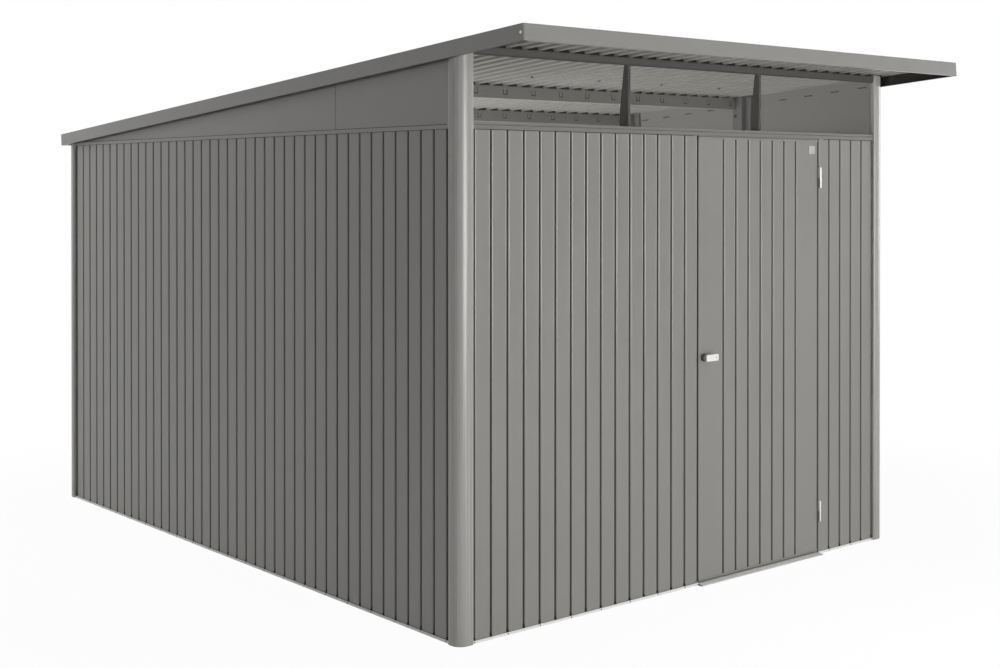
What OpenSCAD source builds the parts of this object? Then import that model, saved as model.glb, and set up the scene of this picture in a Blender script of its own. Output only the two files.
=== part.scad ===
/* [Wall sheets] */
// Distance from one wall groove to the next
groove_pitch = 80; // [60:1:110]
// Groove pitches across the front between the corner posts
front_pitches = 30; // [26:2:40]
// Groove pitches along each side between the corner posts
side_pitches = 40; // [32:1:50]
// Width of a groove across its shoulders
groove_w = 18; // [10:1:26]
// Depth of a groove
groove_d = 9; // [5:0.5:14]
// Height of the walls to the top of their rail
wall_h = 1891; // [1700:1:2100]
// Thickness of the formed sheet
sheet_t = 1.2; // [0.8:0.1:2]

/* [Corner posts] */
// Distance from a wall's end groove to the corner of the wall planes
post_w = 70; // [55:1:100]
// How far a post stands out in front of the wall sheets
post_proud = 11; // [8:1:22]
// Radius of the rounded outer corner of a post
post_r = 41; // [20:1:44]
// Radius of the two edges of a post beside the walls
post_edge_r = 9; // [4:0.5:12]
// Thickness of a post's folded sheet
post_t = 1.6; // [1:0.1:3]

/* [Rails] */
// Height of the outer lip of the rail on top of the walls
rail_h = 15; // [12:1:40]
// How far the rails stand out in front of the wall sheets
rail_proud = 4; // [2:0.5:6]
// Thickness of the rails
rail_t = 1.5; // [1:0.1:3]
// Depth of the side and back rails behind the wall plane
rail_deep = 40; // [32:1:60]
// Depth of the front rail, which is also the window sill and the door head
front_rail_deep = 70; // [66:1:90]
// Height of the inner flange of the side and back rails
rail_inner_h = 36; // [20:1:60]
// Height of the outer lip of the rail on the ground
base_lip_h = 10; // [6:1:16]
// Height of the inner lip of the rail on the ground
base_inner_h = 25; // [10:1:40]

/* [Window strip] */
// Height of the glazing bar under the glass
sill_h = 12; // [8:1:20]
// Height of the clear strip between the bar and the header
window_h = 249; // [150:1:320]
// Height of the header over the glass, at the front wall plane
header_h = 28; // [22:1:50]
// Thickness of the clear sheet
glass_t = 3; // [2:0.5:6]
// Thickness of the sheet of a bracket behind the glass
bracket_t = 3; // [2:0.5:10]
// Width of a bracket's face behind the glass
bracket_w = 14; // [10:1:30]
// Depth of a bracket at its foot
bracket_foot = 47; // [40:1:58]
// Depth of a bracket at its head
bracket_head = 22; // [15:1:50]
// Height of a bracket's straight foot above the glazing bar
bracket_base_h = 58; // [20:1:100]

/* [Roof] */
// Height of the panel between the back wall's rail and the roof
eaves_h = 38; // [25:1:90]
// Overhang of the roof in front of the front wall, along the slope
front_overhang = 390; // [150:5:500]
// Overhang of the roof behind the back wall
rear_overhang = 62; // [60:1:150]
// Overhang of the roof past each side wall
side_overhang = 30; // [28:1:60]
// Height of the boards around the roof edge
fascia_h = 60; // [45:1:100]
// Thickness of the boards around the roof edge
fascia_t = 1.5; // [1:0.1:3]
// Radius of the two front corners of the roof edge
fascia_r = 8; // [4:0.5:14]
// Height of the ribs of the roof sheet
roof_rib_h = 9; // [6:0.5:9]
// Height of the purlins under the roof sheet
purlin_h = 60; // [40:1:80]
// Distance from the front wall to the first purlin, and between purlins
purlin_step = 800; // [600:10:1000]

/* [Door] */
// Groove pitches between the left post and the door
left_pitches = 15; // [2:1:16]
// Groove pitches that the door opening takes
door_pitches = 10; // [8:1:12]
// Free gap around the door
door_gap = 5; // [5:0.5:8]
// Depth of the door leaf
door_deep = 28; // [22:1:32]
// Height of the underside of the door above the ground
door_lift = 14; // [13.5:0.5:25]
// Radius of a hinge barrel
barrel_r = 4; // [3.5:0.5:6]
// Length of one hinge, of both its barrels
hinge_len = 92; // [60:1:140]
// Distance from the underside of the door up to the middle of the lower hinge
hinge_low = 179; // [100:1:400]
// Distance from the top of the door down to the middle of the upper hinge
hinge_high = 170; // [100:1:400]
// Height of the handle's spindle
handle_z = 947; // [800:1:1200]
// Distance from the door opening's edge to the handle's spindle
handle_in = 36; // [30:1:60]
// Length of the handle's grip from the spindle to its tip
grip_len = 60; // [40:1:90]
// Height of the handle's grip
grip_h = 28; // [20:1:40]

/* [Hidden] */

$fn = 48;
over = 1;
slip = 0.3;
run_fit = 0.1;

paint = [0.52, 0.51, 0.49];
paint_dark = [0.34, 0.33, 0.32];
bare_metal = [0.80, 0.80, 0.79];
steel = [0.86, 0.86, 0.85];
clear_sheet = [0.80, 0.84, 0.85, 0.35];
black_plastic = [0.12, 0.12, 0.12];

front_run = front_pitches * groove_pitch;
side_run = side_pitches * groove_pitch;
half_run = front_run / 2;
half_w = half_run + post_w;
body_d = side_run + 2 * post_w;
wall_deep = groove_d + sheet_t;
wall_foot = rail_t;
wall_top = wall_h - rail_t;
post_front_gap = 7;
post_side_gap = 15;
front_end = post_front_gap - slip;
side_end = post_side_gap - slip;
post_flange = post_w - wall_deep - post_t;
flange_len = 30;
notch_len = flange_len + slip;

sill_top = wall_h + sill_h;
header_z = sill_top + window_h;
roof_z = header_z + header_h;
fall_tan = (roof_z - wall_h - eaves_h) / body_d;
roof_fall = atan(fall_tan);
edge_gap = 0.3;
sheet_drop = roof_rib_h + 2 * sheet_t + fascia_t + edge_gap;
fascia_low = sheet_drop - fascia_h;
front_reach = front_overhang * cos(roof_fall) - fascia_low * sin(roof_fall);
rear_s = (body_d + rear_overhang) / cos(roof_fall);
rear_reach = rear_s * cos(roof_fall) + sheet_drop * sin(roof_fall);
front_y = (front_reach - rear_reach) / 2;
back_y = front_y + body_d;
roof_half = half_w + side_overhang;
sheet_half = roof_half - fascia_t;
sheet_start = fascia_r - front_overhang;
big = 3 * max(front_run, side_run);

shoulder_share = 0.66;
floor_share = 0.28;
shoulder_drop_share = 0.11;
groove_half = groove_w / 2;
shoulder_half = groove_half * shoulder_share;
floor_half = groove_half * floor_share;
shoulder_d = groove_d * shoulder_drop_share;

glass_in = (wall_deep - glass_t) / 2;
glass_back = glass_in + glass_t + slip;
sill_joint = 2.5;
bracket_shift = 4;
drain_r = 3;
drain_step = 2;
panel_r = 2;
purlin_back = 65;
upright_lead = 20;
slot_start_share = 0.075;

rib_bottom_share = 0.32;
rib_top_share = 0.26;
rib_shift_share = 0.5;
sheet_count = 3;
rib_bottom = groove_pitch * rib_bottom_share;
rib_top = groove_pitch * rib_top_share;
seam_index = round(front_pitches / (2 * sheet_count));
seam_x = (seam_index + rib_shift_share) * groove_pitch;
seam_h = roof_rib_h + sheet_t;
lap = 1;
last_rib = floor((half_w - rib_bottom) / groove_pitch - rib_shift_share);

gutter_gap = 15;
gutter_slack = 4;
flange_top = 22;
flange_low = 13;
gutter_w = rear_overhang - post_proud - gutter_slack;
outlet_r = 15;
outlet_in = 60;
outlet_len = 32;

door_x0 = left_pitches * groove_pitch;
door_w = door_pitches * groove_pitch;
door_x1 = door_x0 + door_w;
door_top = wall_h - rail_h - door_gap;
door_edge_r = 3;
door_lip = 25;
edge_pitches = 2;
cap_t = 1.2;
cap_h = 9;
cap_back_h = 30;

stop_clear = 6.5;
stop_lap = 13;
jamb_lap = 10;
stop_deep = door_deep + stop_clear;
stop_reach = door_gap + stop_lap;
jamb_w = groove_pitch + jamb_lap;
jamb_end = stop_deep + rail_t;
threshold_out = 28;
threshold_in = 33;
threshold_h = 8;
threshold_nose = 2.5;

barrel_clear = 1.5;
barrel_land = 1;
barrel_out = barrel_r + barrel_clear;
barrel_in = groove_half + barrel_land;
pin_r = 2.5;
barrel_gap = 0.5;
barrel_len = (hinge_len - barrel_gap) / 2;
hinge_cap = 2.5;
hinge_arm_t = 2.5;
hinge_arm_in = 20;
hinge_zs = [door_lift + hinge_low, door_top - hinge_high];

rosette_r = 16.5;
rosette_t = 8;
rosette_edge = 2.5;
spindle_r = 8;
spindle_in = 6;
spindle_slack = 0.4;
collar_r = 11;
collar_gap = 0.5;
grip_off = 18;
grip_t = 12;
grip_round = 6;
lock_r = 4.5;
lock_in = 13;
lock_deep = 1.5;

// Points across one groove, from shoulder to shoulder
function groove_points(c) = [
    [c - groove_half, 0], [c - shoulder_half, shoulder_d], [c - floor_half, groove_d],
    [c + floor_half, groove_d], [c + shoulder_half, shoulder_d], [c + groove_half, 0]];

// Right half and left half of a groove, for the ends of a sheet
function groove_start(c) = [
    [c, groove_d], [c + floor_half, groove_d], [c + shoulder_half, shoulder_d], [c + groove_half, 0]];
function groove_finish(c) = [
    [c - groove_half, 0], [c - shoulder_half, shoulder_d], [c - floor_half, groove_d], [c, groove_d]];

// Whole grooves of a sheet, from one count of pitches to another
function groove_row(from, to) = [for (i = [from : 1 : to]) for (p = groove_points(i * groove_pitch)) p];

// Closed outline of a sheet from its outer face, with the sheet's thickness behind it
function sheet_outline(face, t) = concat(face,
    [for (i = [len(face) - 1 : -1 : 0]) [face[i][0], face[i][1] + t]]);

// Outer face of a wall sheet, a half groove at each end
function wall_face(count) = concat(
    groove_start(0), groove_row(1, count - 1), groove_finish(count * groove_pitch));

// Places a piece drawn on a wall: x along the wall from its end groove, y into the shed
module on_front() {
    translate([-half_run, front_y, 0]) children();
}

module on_back() {
    translate([-half_run, back_y, 0]) mirror([0, 1, 0]) children();
}

module on_right() {
    translate([half_w, front_y + post_w, 0]) rotate([0, 0, 90]) children();
}

module on_left() {
    mirror([1, 0, 0]) on_right() children();
}

// Places a piece drawn on the roof: y down the slope from the front wall, z off the underside of the sheet
module on_roof() {
    translate([0, front_y, roof_z]) rotate([-roof_fall, 0, 0]) children();
}

// Everything above a plane that lies a given distance under the roof sheet
module above_roof(under) {
    on_roof() translate([-big, -big, -under]) cube([2 * big, 2 * big, big]);
}

// Section drawn as depth and height, run along a wall
module along(len) {
    rotate([90, 0, 90]) linear_extrude(len) children();
}

// Section drawn as width and height, run down the roof between two stations
module down_roof(s0, s1) {
    on_roof() translate([0, s1, 0]) rotate([90, 0, 0]) linear_extrude(s1 - s0) children();
}

// Run along a wall past its end grooves to the posts, whose deep part stops short of the post flanges
module notched_run(len, start, finish) {
    difference() {
        translate([-start, 0, 0]) along(start + len + finish) children();
        if (start > 0) {
            translate([-start - over, wall_deep - slip, -over]) cube([start + notch_len + over, big, big]);
        }
        if (finish > 0) {
            translate([len - notch_len, wall_deep - slip, -over]) cube([notch_len + finish + over, big, big]);
        }
    }
}

// Rail on the ground that a wall sheet stands in
module base_section(deep) {
    square_at(-rail_proud, 0, rail_proud + deep, rail_t);
    square_at(-rail_proud, 0, rail_t, base_lip_h);
    square_at(deep - rail_t, 0, rail_t, base_inner_h);
}

// Rail that caps a wall sheet
module top_section(deep, inner_h) {
    low = wall_h - rail_h;
    square_at(-rail_proud, wall_top, rail_proud + deep, rail_t);
    square_at(-rail_proud, low, rail_t, rail_h);
    square_at(-rail_proud, low, rail_proud, rail_t);
    square_at(deep - rail_t, wall_h - inner_h, rail_t, inner_h);
}

module square_at(x, y, w, h) {
    translate([x, y]) square([w, h]);
}

// Drain holes through the outer lip of a rail on the ground, under every second groove
module drains(count) {
    for (i = [0 : drain_step : count]) {
        translate([i * groove_pitch, -rail_proud - over, base_lip_h / 2]) rotate([-90, 0, 0])
            cylinder(r = drain_r, h = rail_t + 2 * over);
    }
}

module base_rail_front() {
    color(bare_metal) on_front() difference() {
        union() {
            notched_run(door_x0, front_end, 0) base_section(rail_deep);
            translate([door_x1, 0, 0]) notched_run(front_run - door_x1, 0, front_end) base_section(rail_deep);
        }
        drains(front_pitches);
    }
}

module base_rail_back() {
    color(bare_metal) on_back() difference() {
        notched_run(front_run, front_end, front_end) base_section(rail_deep);
        drains(front_pitches);
    }
}

module base_rail_right() {
    color(bare_metal) on_right() difference() {
        notched_run(side_run, side_end, side_end) base_section(rail_deep);
        drains(side_pitches);
    }
}

module base_rail_left() {
    color(bare_metal) mirror([1, 0, 0]) base_rail_right();
}

// Ramped sill that the door closes over
module door_threshold() {
    section = [[-threshold_out, 0], [-threshold_out, threshold_nose], [-rail_proud, threshold_h],
        [threshold_in, threshold_h], [threshold_in, 0], [threshold_in - rail_t, 0],
        [threshold_in - rail_t, threshold_h - rail_t], [-rail_proud, threshold_h - rail_t],
        [-threshold_out + threshold_nose, rail_t], [-threshold_out + threshold_nose, 0]];
    color(steel) on_front() translate([door_x0, 0, 0]) along(door_w) polygon(section);
}

// Plan of a corner post: x past the end groove of one wall, y past the end groove of the other
module post_block(inset) {
    outer = post_w + post_proud - inset;
    inner_x = post_front_gap + inset;
    inner_y = post_side_gap + inset;
    r = post_r - inset;
    e = post_edge_r - inset;
    difference() {
        square_at(inner_x, inner_y, outer - inner_x, outer - inner_y);
        corner_cut(outer, outer, r, 0);
        corner_cut(inner_x, outer, e, 90);
        corner_cut(outer, inner_y, e, 270);
    }
}

// Waste outside a rounded corner of a plan
module corner_cut(x, y, r, turn) {
    translate([x, y]) rotate(turn) translate([-r, -r]) difference() {
        square_at(0, 0, r + over, r + over);
        circle(r);
    }
}

module post_plan() {
    difference() {
        post_block(0);
        post_block(post_t);
        square_at(0, 0, post_flange, post_flange);
    }
    square_at(-flange_len, post_flange, flange_len + post_front_gap + post_t, post_t);
    square_at(post_flange, -flange_len, post_t, flange_len + post_side_gap + post_t);
}

module post() {
    linear_extrude(roof_z) post_plan();
}

// Front post, whose flanges stop at the top of the walls, under the clear strip and the gable
module front_post() {
    difference() {
        post();
        translate([-flange_len - over, post_flange - over, wall_h])
            cube([flange_len + over + post_front_gap, post_t + 2 * over, roof_z]);
        translate([post_flange - over, -flange_len - over, wall_h])
            cube([post_t + 2 * over, flange_len + over + post_side_gap, roof_z]);
    }
}

module post_front_left() {
    color(paint) difference() {
        translate([-half_run, front_y + post_w, 0]) rotate([0, 0, 180]) front_post();
        above_roof(0);
    }
}

module post_front_right() {
    color(paint) difference() {
        translate([half_run, front_y + post_w, 0]) mirror([0, 1, 0]) front_post();
        above_roof(0);
    }
}

module post_back_left() {
    color(paint) difference() {
        translate([-half_run, back_y - post_w, 0]) mirror([1, 0, 0]) post();
        above_roof(0);
    }
}

module post_back_right() {
    color(paint) difference() {
        translate([half_run, back_y - post_w, 0]) post();
        above_roof(0);
    }
}

module wall_sheet(count) {
    translate([0, 0, wall_foot]) linear_extrude(wall_top - wall_foot)
        polygon(sheet_outline(wall_face(count), sheet_t));
}

module wall_front_left() {
    color(paint) on_front() wall_sheet(left_pitches);
}

module wall_front_right() {
    right_pitches = front_pitches - left_pitches - door_pitches;
    color(paint) on_front() translate([door_x1, 0, 0]) wall_sheet(right_pitches);
}

module wall_left() {
    color(paint) on_left() wall_sheet(side_pitches);
}

module wall_right() {
    color(paint) on_right() wall_sheet(side_pitches);
}

module wall_back() {
    color(paint) on_back() wall_sheet(front_pitches);
}

module rail_front() {
    color(paint) on_front() notched_run(front_run, front_end, front_end) top_section(front_rail_deep, rail_h);
}

module rail_left() {
    color(paint) on_left() notched_run(side_run, side_end, side_end) top_section(rail_deep, rail_inner_h);
}

module rail_right() {
    color(paint) on_right() notched_run(side_run, side_end, side_end) top_section(rail_deep, rail_inner_h);
}

module rail_back() {
    color(paint) on_back() notched_run(front_run, front_end, front_end) top_section(rail_deep, rail_inner_h);
}

// Plan of a smooth panel whose two ends are folded straight in
function folded(x0, x1) = [[x0, groove_d], [x0, panel_r], [x0 + panel_r, 0], [x1 - panel_r, 0], [x1, panel_r],
    [x1, groove_d], [x1 - sheet_t, groove_d], [x1 - sheet_t, panel_r + sheet_t], [x1 - panel_r, sheet_t],
    [x0 + panel_r, sheet_t], [x0 + sheet_t, panel_r + sheet_t], [x0 + sheet_t, groove_d]];

module eaves_panel_back() {
    color(paint) difference() {
        on_back() translate([0, 0, wall_h]) linear_extrude(roof_z - wall_h)
            polygon(folded(-front_end, front_run + front_end));
        above_roof(0);
    }
}

// Smooth panels between the wall rail and the roof, in two lengths with a seam at the first purlin
module gable() {
    seam = purlin_step - post_w;
    seam_gap = 1;
    translate([0, 0, wall_h]) linear_extrude(roof_z - wall_h) {
        polygon(folded(-side_end, seam - seam_gap));
        polygon(folded(seam + seam_gap, side_run + side_end));
    }
}

// Vent slots high in the gables, behind the roof edge
module vent_slots() {
    slot_w = 50;
    slot_h = 6;
    slot_under = 44;
    slot_step = 2 * groove_pitch;
    slot_count = floor(side_run / slot_step);
    for (i = [0 : slot_count - 1]) {
        s = (post_w + (i + slot_start_share) * slot_step) / cos(roof_fall);
        on_roof() translate([half_w - wall_deep - over, s, -slot_under])
            cube([wall_deep + 2 * over, slot_w, slot_h]);
    }
}

module gable_right() {
    color(paint) difference() {
        on_right() gable();
        above_roof(0);
        vent_slots();
    }
}

module gable_left() {
    color(paint) mirror([1, 0, 0]) gable_right();
}

// Bar on the front rail with a slot that the clear sheet stands in, and a joint line at its foot
module window_sill() {
    section = [[-rail_proud, wall_h + sill_joint], [-rail_proud, sill_top], [wall_deep - slip, sill_top],
        [wall_deep - slip, wall_h], [sill_joint - rail_proud, wall_h]];
    color(paint) on_front() translate([-front_end, 0, 0]) along(front_run + 2 * front_end) difference() {
        polygon(section);
        square_at(glass_in, wall_h + sill_h / 2, glass_t, sill_h);
    }
}

module window_glass() {
    color(clear_sheet) on_front() translate([-front_end, glass_in, wall_h + sill_h / 2])
        cube([front_run + 2 * front_end, glass_t, window_h + sill_h / 2]);
}

// Tapered angles that carry the header, at a third and two thirds of the width
module window_brackets() {
    web = [[wall_deep, wall_h], [glass_back + bracket_foot, wall_h],
        [glass_back + bracket_foot, sill_top + bracket_base_h], [glass_back + bracket_head, header_z],
        [glass_back, header_z], [glass_back, sill_top], [wall_deep, sill_top]];
    color(paint_dark) on_front() for (i = [1, 2]) {
        translate([i * front_run / 3 - bracket_shift, 0, 0]) {
            along(bracket_t) polygon(web);
            translate([0, glass_back, sill_top]) cube([bracket_w, bracket_t, header_z - sill_top]);
        }
    }
}

module window_header() {
    lip = 12;
    outline = [[-rail_proud, header_z], [-rail_proud, roof_at(-rail_proud)], [rail_deep, roof_at(rail_deep)],
        [rail_deep, roof_at(rail_deep) - lip], [rail_deep - rail_t, roof_at(rail_deep) - lip],
        [rail_deep - rail_t, roof_at(rail_deep) - 2 * rail_t], [rail_t - rail_proud, roof_at(0) - 2 * rail_t],
        [rail_t - rail_proud, header_z + rail_t], [rail_deep - lip, header_z + rail_t],
        [rail_deep - lip, header_z]];
    color(paint) on_front() notched_run(front_run, front_end, front_end) polygon(outline);
}

// Height of the underside of the roof sheet at a depth behind the front wall plane
function roof_at(u) = roof_z - u * fall_tan;

// Channel under the roof sheet with a row of square tabs cut free on three sides in its web
module purlin(i) {
    purlin_w = 45;
    purlin_t = 2;
    tab = 25;
    tab_slot = 4;
    tab_step = 168.5;
    tab_shift = 15;
    half = half_w - rail_deep - slip;
    tabs = floor((half - tab - tab_shift) / tab_step);
    s = (i * purlin_step + purlin_back) / cos(roof_fall);
    on_roof() translate([0, s, 0]) difference() {
        translate([-half, 0, -purlin_h]) cube([2 * half, purlin_w, purlin_h]);
        translate([-half - over, purlin_t, purlin_t - purlin_h])
            cube([2 * (half + over), purlin_w, purlin_h - 2 * purlin_t]);
        for (k = [-tabs : tabs]) {
            translate([k * tab_step + tab_shift - tab / 2, -over, -(purlin_h + tab) / 2]) difference() {
                cube([tab, purlin_t + 2 * over, tab]);
                translate([tab_slot, -over, tab_slot]) cube([tab - 2 * tab_slot, purlin_w, tab]);
            }
        }
    }
}

module purlin_front() {
    color(paint) purlin(1);
}

module purlin_middle() {
    color(paint) purlin(2);
}

module purlin_rear() {
    color(paint) purlin(3);
}

// Uprights on the side rails that the purlin ends meet, over the seams of the gables
module purlin_posts() {
    post_deep = rail_deep - wall_deep - slip;
    color(paint) difference() {
        for (i = [1 : 3]) {
            translate([0, i * purlin_step - upright_lead - post_w, 0]) {
                on_right() purlin_post(post_deep);
                on_left() purlin_post(post_deep);
            }
        }
        above_roof(0);
    }
}

// Upright folded from one sheet: a flange on the wall, a step inwards and a face for the purlin end
module purlin_post(deep) {
    t = 2;
    flange = 40;
    face = 57;
    translate([0, wall_deep + slip, wall_h]) linear_extrude(roof_z - wall_h) {
        square([flange, t]);
        square_at(flange - t, 0, t, deep);
        square_at(flange - t, deep - t, face + t, t);
    }
}

// Ribs of the roof sheet between two counts from the middle
function roof_ribs(from, to) = [
    for (k = [from : 1 : to]) let (c = (k + rib_shift_share) * groove_pitch)
        for (p = [[c - rib_bottom, 0], [c - rib_top, roof_rib_h],
            [c + rib_top, roof_rib_h], [c + rib_bottom, 0]]) p];

// Sheet over the middle third, whose edge ribs lap over the side sheets
module roof_sheet_middle() {
    face = concat(
        [[lap - seam_x - rib_top, seam_h], [rib_top - seam_x, seam_h], [rib_bottom - seam_x, 0]],
        roof_ribs(-seam_index, seam_index - 1),
        [[seam_x - rib_bottom, 0], [seam_x - rib_top, seam_h], [seam_x + rib_top - lap, seam_h]]);
    color(paint) down_roof(sheet_start, rear_s - gutter_gap) polygon(sheet_outline(face, sheet_t));
}

module roof_side() {
    face = concat(
        [[seam_x - rib_top + lap, roof_rib_h], [seam_x + rib_top, roof_rib_h], [seam_x + rib_bottom, 0]],
        roof_ribs(seam_index + 1, last_rib), [[sheet_half, 0]]);
    down_roof(sheet_start, rear_s - gutter_gap) polygon(sheet_outline(face, sheet_t));
}

module roof_sheet_right() {
    color(paint) roof_side();
}

module roof_sheet_left() {
    color(paint) mirror([1, 0, 0]) roof_side();
}

// Board along the front edge of the roof, wrapped round both corners
module fascia_front() {
    clear_half = roof_half - flange_top - slip;
    color(paint) on_roof() {
        translate([0, 0, fascia_low]) linear_extrude(fascia_h) difference() {
            rounded_edge(0);
            rounded_edge(fascia_t);
            square_at(-big, fascia_r - front_overhang, 2 * big, big);
        }
        translate([-clear_half, -front_overhang + fascia_t - slip / 2, sheet_drop - fascia_t])
            cube([2 * clear_half, flange_top, fascia_t]);
        translate([-clear_half, -front_overhang + fascia_t - slip / 2, fascia_low])
            cube([2 * clear_half, flange_low, fascia_t]);
    }
}

module rounded_edge(inset) {
    w = roof_half - inset;
    s = front_overhang - inset;
    r = fascia_r - inset;
    difference() {
        square_at(-w, -s, 2 * w, 2 * s);
        corner_cut(w, -s, r, 270);
        corner_cut(-w, -s, r, 180);
    }
}

module fascia_side() {
    down_roof(fascia_r - front_overhang, rear_s) {
        square_at(roof_half - fascia_t, fascia_low, fascia_t, fascia_h);
        square_at(roof_half - flange_top, sheet_drop - fascia_t, flange_top, fascia_t);
        square_at(roof_half - flange_low, fascia_low, flange_low, fascia_t);
    }
}

module fascia_right() {
    color(paint) fascia_side();
}

module fascia_left() {
    color(paint) mirror([1, 0, 0]) fascia_side();
}

// Channel behind the back wall that the roof drains into
module gutter_rear() {
    web_half = roof_half - fascia_t;
    tray_half = roof_half - flange_low - slip;
    color(paint) on_roof() difference() {
        union() {
            translate([-tray_half, rear_s - fascia_t, fascia_low])
                cube([2 * tray_half, fascia_t, fascia_h - fascia_t]);
            translate([-web_half, rear_s - fascia_t, fascia_low + fascia_t])
                cube([2 * web_half, fascia_t, fascia_h - 2 * fascia_t]);
            translate([-tray_half, rear_s - gutter_w, fascia_low]) {
                cube([2 * tray_half, gutter_w, fascia_t]);
                cube([2 * tray_half, fascia_t, -fascia_low]);
            }
            outlets(outlet_r, tray_half - outlet_in, outlet_len);
        }
        outlets(outlet_r - fascia_t, tray_half - outlet_in, outlet_len + over);
    }
}

// Round outlets near both ends of the gutter, down from the top of its tray
module outlets(r, x, len) {
    for (side = [-1, 1]) {
        translate([side * x, rear_s - gutter_w / 2, fascia_low + fascia_t - len]) cylinder(r = r, h = len);
    }
}

// Post beside the door with the stop that the leaf closes against
module door_jamb() {
    plan = [[-jamb_w, wall_deep], [0, wall_deep], [0, stop_deep], [stop_reach, stop_deep],
        [stop_reach, jamb_end], [-rail_t, jamb_end],
        [-rail_t, wall_deep + rail_t], [-jamb_w, wall_deep + rail_t]];
    translate([0, 0, wall_foot]) linear_extrude(wall_top - wall_foot) polygon(plan);
}

module door_jamb_left() {
    color(paint) on_front() translate([door_x0, 0, 0]) door_jamb();
}

module door_jamb_right() {
    color(paint) on_front() translate([door_x1, 0, 0]) mirror([1, 0, 0]) door_jamb();
}

// Stop over the door, hung from the front rail between the jambs
module door_head() {
    head_z = wall_h - rail_inner_h;
    color(paint) on_front() translate([door_x0 + stop_reach, stop_deep, head_z])
        cube([door_w - 2 * stop_reach, rail_t, wall_top - head_z]);
}

// Fixed lower barrels with their pins, on a web that stands on the wall beside the door
module hinge_pins() {
    color(steel) on_front() for (z = hinge_zs) {
        translate([door_x1 + barrel_in, -barrel_out, z - hinge_len / 2]) {
            cylinder(r = barrel_r, h = barrel_len);
            cylinder(r = pin_r, h = hinge_len - hinge_cap);
            cube([barrel_r, barrel_out, barrel_len]);
        }
    }
}

// Grooved skin of the door with folded edges
module door_leaf() {
    x0 = door_gap;
    x1 = door_w - door_gap;
    leaf_z = door_lift + cap_t;
    face = concat([[x0, door_edge_r], [x0 + door_edge_r, 0]],
        groove_row(edge_pitches, door_pitches - edge_pitches),
        [[x1 - door_edge_r, 0], [x1, door_edge_r]]);
    color(paint) on_front() translate([door_x0, 0, leaf_z]) difference() {
        linear_extrude(door_top - door_lift - 2 * cap_t) {
            polygon(concat(face,
                [[x1, door_deep], [x1 - door_lip, door_deep], [x1 - door_lip, door_deep - sheet_t],
                [x1 - sheet_t, door_deep - sheet_t], [x1 - sheet_t, door_edge_r + sheet_t]],
                [for (i = [len(face) - 2 : -1 : 1]) [face[i][0], face[i][1] + sheet_t]],
                [[x0 + sheet_t, door_edge_r + sheet_t], [x0 + sheet_t, door_deep - sheet_t],
                [x0 + door_lip, door_deep - sheet_t], [x0 + door_lip, door_deep], [x0, door_deep]]));
        }
        translate([handle_in, -over, handle_z - leaf_z]) rotate([-90, 0, 0])
            cylinder(r = spindle_r + spindle_slack, h = door_deep / 2);
    }
}

// Channels that cap the foot and the head of the door, and one across it at lock height
module door_rails() {
    bar_h = 40;
    cap_len = door_w - 2 * door_gap;
    bar_len = cap_len - 2 * sheet_t;
    bar_deep = door_deep - sheet_t - wall_deep;
    color(paint) on_front() translate([door_x0 + door_gap, 0, 0]) {
        translate([0, 0, door_lift]) along(cap_len) door_cap();
        translate([0, 0, door_top]) mirror([0, 0, 1]) along(cap_len) door_cap();
        translate([sheet_t, wall_deep, handle_z - bar_h / 2]) difference() {
            cube([bar_len, bar_deep, bar_h]);
            translate([-over, -over, rail_t])
                cube([bar_len + 2 * over, bar_deep - rail_t + over, bar_h - 2 * rail_t]);
        }
    }
}

// Section of a cap: low lip in front of the skin, plate at its end, taller flange behind the folded edges
module door_cap() {
    square_at(-slip - cap_t, 0, door_deep + 2 * (slip + cap_t), cap_t);
    square_at(-slip - cap_t, 0, cap_t, cap_h);
    square_at(door_deep + slip, 0, cap_t, cap_back_h);
}

// Upper barrels that turn on the pins, with an arm folded round the door's edge
module door_hinges() {
    arm = barrel_in + door_gap;
    color(steel) on_front() for (z = hinge_zs) {
        translate([door_x1 + barrel_in, -barrel_out, z + barrel_gap / 2]) difference() {
            union() {
                cylinder(r = barrel_r, h = barrel_len);
                translate([-arm, 0, 0]) cube([arm, hinge_arm_t, barrel_len]);
                translate([-arm, 0, 0]) cube([hinge_arm_t, barrel_out + hinge_arm_in, barrel_len]);
            }
            translate([0, 0, -over]) cylinder(r = pin_r + run_fit, h = barrel_len - hinge_cap + over);
        }
    }
}

// Places a piece on the handle's spindle: z out of the door
module on_handle() {
    on_front() translate([door_x0 + handle_in, 0, handle_z]) rotate([90, 0, 0]) children();
}

module handle_rosette() {
    color(black_plastic) on_handle() difference() {
        union() {
            cylinder(r = rosette_r, h = rosette_t - rosette_edge);
            translate([0, 0, rosette_t - rosette_edge])
                cylinder(r1 = rosette_r, r2 = rosette_r - rosette_edge, h = rosette_edge);
        }
        translate([0, 0, -over]) cylinder(r = spindle_r + run_fit, h = rosette_t + 2 * over);
    }
}

// Lever on its spindle, grip pointing into the door, with the seat of the lock core near its tip
module door_handle() {
    half = grip_h / 2;
    collar_z = rosette_t + collar_gap;
    color(steel) on_handle() {
        translate([0, 0, -spindle_in]) cylinder(r = spindle_r, h = spindle_in + grip_off);
        translate([0, 0, collar_z]) cylinder(r = collar_r, h = grip_off - collar_z);
        translate([0, 0, grip_off]) difference() {
            linear_extrude(grip_t) difference() {
                square_at(-half, -half, half + grip_len, grip_h);
                corner_cut(grip_len, half, grip_round, 0);
                corner_cut(-half, half, grip_round, 90);
                corner_cut(-half, -half, grip_round, 180);
                corner_cut(grip_len, -half, grip_round, 270);
            }
            translate([grip_len - lock_in, 0, grip_t - lock_deep]) cylinder(r = lock_r, h = lock_deep + over);
        }
    }
}

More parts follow.
